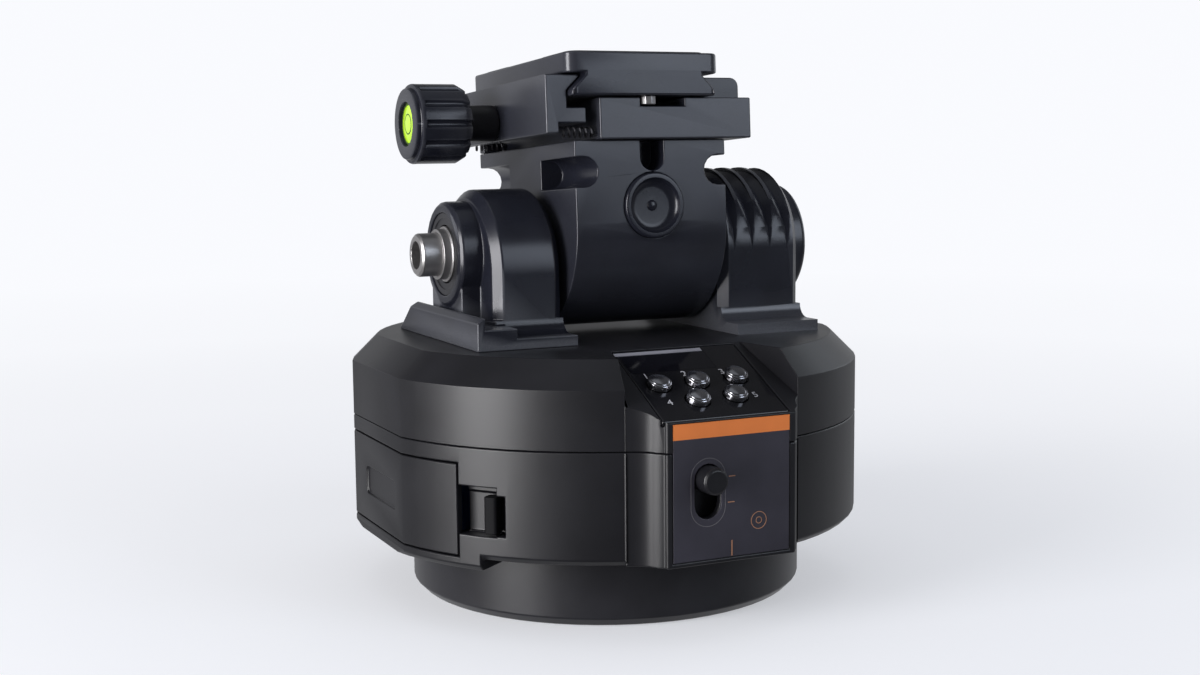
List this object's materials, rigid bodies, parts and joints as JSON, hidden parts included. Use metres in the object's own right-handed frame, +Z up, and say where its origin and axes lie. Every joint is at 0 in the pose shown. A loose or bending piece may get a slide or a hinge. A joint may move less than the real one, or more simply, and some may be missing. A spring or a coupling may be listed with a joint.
{
  "type": "remote pan tilt head",
  "caption": "Motorised pan and tilt head: a drum turns on a threaded tripod base and a yoke on top tilts a carriage with a quick release clamp and camera plate.",
  "frame": {"origin": "On the pan axis, at the flat underside of the base disc, where the tripod socket opens.", "axes": "+Z up along the pan axis. -Y is the front, where the control box is. +X is the operator's right, along the tilt axis, so the clamp knob is at -X."},
  "size_m": [0.1148, 0.1259, 0.1248],
  "materials": {
    "housing_plastic": "fine textured satin black",
    "gloss_black": "polished black",
    "display_glass": "dark display window",
    "black_anodised": "bead blasted and anodised black",
    "bright_steel": "ground",
    "dark_steel": "oiled",
    "chrome": "polished",
    "brass": "turned",
    "rubber": "ribbed",
    "circuit_board": "solder mask",
    "slate_label": "printed film",
    "orange_label": "printed film",
    "level_vial": "tinted liquid under a clear lens",
    "battery_wrap": "shrink film"
  },
  "bodies": {
    "base": {"base_disc": "housing_plastic", "tripod_bush": "brass", "thread_reducer": "dark_steel", "pan_ring_gear": "dark_steel", "pan_bearing_inner_race": "bright_steel", "pan_retainer_ring": "dark_steel", "pan_bearing_cage": "bright_steel"},
    "head": {"lower_housing": "housing_plastic", "upper_housing": "housing_plastic", "pan_bearing_outer_race": "bright_steel", "pan_motor": "dark_steel", "main_board": "circuit_board", "battery_pack": "battery_wrap", "front_panel": "slate_label", "accent_stripe": "orange_label", "mode_switch_body": "dark_steel", "control_deck": "gloss_black", "display_window": "display_glass", "control_board": "circuit_board", "left_arm": "black_anodised", "tilt_bearing_outer_race": "dark_steel", "right_arm": "black_anodised", "right_arm_cover": "black_anodised", "right_end_cap": "black_anodised", "tilt_bushing": "brass", "tilt_motor": "dark_steel"},
    "pan_drive_pinion": {"pan_pinion": "brass"},
    "battery_hatch": {"battery_door": "housing_plastic"},
    "latch": {"door_latch": "housing_plastic"},
    "mode_switch": {"mode_switch_knob": "housing_plastic"},
    "rear_left_button": {"button_rear_left": "chrome"},
    "rear_centre_button": {"button_rear_centre": "chrome"},
    "rear_right_button": {"button_rear_right": "chrome"},
    "front_centre_button": {"button_front_centre": "chrome"},
    "front_right_button": {"button_front_right": "chrome"},
    "tilting_carriage": {"tilt_shaft": "bright_steel", "tilt_bearing_inner_race": "bright_steel", "tilt_drive_shaft": "dark_steel", "tilt_gear": "brass", "tilt_carriage": "black_anodised", "carriage_rear_cover": "housing_plastic", "carriage_boss_cap": "black_anodised", "clamp_base": "black_anodised", "clamp_screw_front": "dark_steel", "clamp_screw_rear": "dark_steel", "jaw_spring_front": "bright_steel", "jaw_spring_rear": "bright_steel"},
    "tilt_drive_pinion": {"tilt_pinion": "brass"},
    "jaw": {"moving_jaw": "black_anodised"},
    "knob": {"clamp_knob": "black_anodised", "clamp_rod": "dark_steel", "clamp_neck_sleeve": "black_anodised", "bubble_level": "level_vial"},
    "camera_plate": {"quick_release_plate": "black_anodised", "plate_pad_front": "rubber", "plate_pad_rear": "rubber", "plate_stop_pin": "chrome"},
    "plate_screw": {"camera_screw": "bright_steel"}
  },
  "joints": [
    {"name": "pan", "type": "hinge", "parent": "base", "child": "head", "pos_m": [0, 0, 0.0214], "axis": [0, 0, 1], "continuous": true},
    {"name": "pan_pinion_turn", "type": "hinge", "parent": "head", "child": "pan_drive_pinion", "pos_m": [0, 0.036, 0.0069], "axis": [0, 0, 1], "continuous": true},
    {"name": "tilt", "type": "hinge", "parent": "head", "child": "tilting_carriage", "pos_m": [0, 0, 0.0795], "axis": [1, 0, 0], "range_deg": [-26.7, 33.3]},
    {"name": "tilt_pinion_turn", "type": "hinge", "parent": "head", "child": "tilt_drive_pinion", "pos_m": [0.0381, 0, 0.0627], "axis": [1, 0, 0], "range_deg": [-85, 85]},
    {"name": "battery_door_swing", "type": "hinge", "parent": "head", "child": "battery_hatch", "pos_m": [-0.04986, 0.0306, 0.0277], "axis": [0, 0, -1], "range_deg": [0, 90]},
    {"name": "door_latch_slide", "type": "slide", "parent": "head", "child": "latch", "axis": [0.6514, -0.7587, 0], "range_m": [0, 0.0015], "stiffness_N_per_m": 200},
    {"name": "mode_switch_slide", "type": "slide", "parent": "head", "child": "mode_switch", "axis": [0, 0, -1], "range_m": [0, 0.0054]},
    {"name": "press_rear_left", "type": "slide", "parent": "head", "child": "rear_left_button", "axis": [0, 0.4422, -0.8969], "range_m": [0, 0.0006], "stiffness_N_per_m": 400},
    {"name": "press_rear_centre", "type": "slide", "parent": "head", "child": "rear_centre_button", "axis": [0, 0.4422, -0.8969], "range_m": [0, 0.0006], "stiffness_N_per_m": 400},
    {"name": "press_rear_right", "type": "slide", "parent": "head", "child": "rear_right_button", "axis": [0, 0.4422, -0.8969], "range_m": [0, 0.0006], "stiffness_N_per_m": 400},
    {"name": "press_front_centre", "type": "slide", "parent": "head", "child": "front_centre_button", "axis": [0, 0.4422, -0.8969], "range_m": [0, 0.0006], "stiffness_N_per_m": 400},
    {"name": "press_front_right", "type": "slide", "parent": "head", "child": "front_right_button", "axis": [0, 0.4422, -0.8969], "range_m": [0, 0.0006], "stiffness_N_per_m": 400},
    {"name": "jaw_slide", "type": "slide", "parent": "tilting_carriage", "child": "jaw", "axis": [-1, 0, 0], "range_m": [0, 0.004]},
    {"name": "clamp_knob_turn", "type": "hinge", "parent": "jaw", "child": "knob", "pos_m": [-0.0396, 0.00722, 0.10913], "axis": [-1, 0, 0], "range_deg": [0, 1440]},
    {"name": "plate_slide", "type": "slide", "parent": "tilting_carriage", "child": "camera_plate", "axis": [0, 0.9983, -0.0576], "range_m": [-0.01, 0.01]},
    {"name": "camera_screw_lift", "type": "slide", "parent": "camera_plate", "child": "plate_screw", "axis": [0, 0.0576, 0.9983], "range_m": [0, 0.0045]}
  ],
  "couplings": [
    {"joint": "pan_pinion_turn", "follows": "pan", "ratio": 5},
    {"joint": "tilt_pinion_turn", "follows": "tilt", "ratio": -2.5},
    {"joint": "clamp_knob_turn", "follows": "jaw_slide", "rad_per_m": 6283.2}
  ]
}
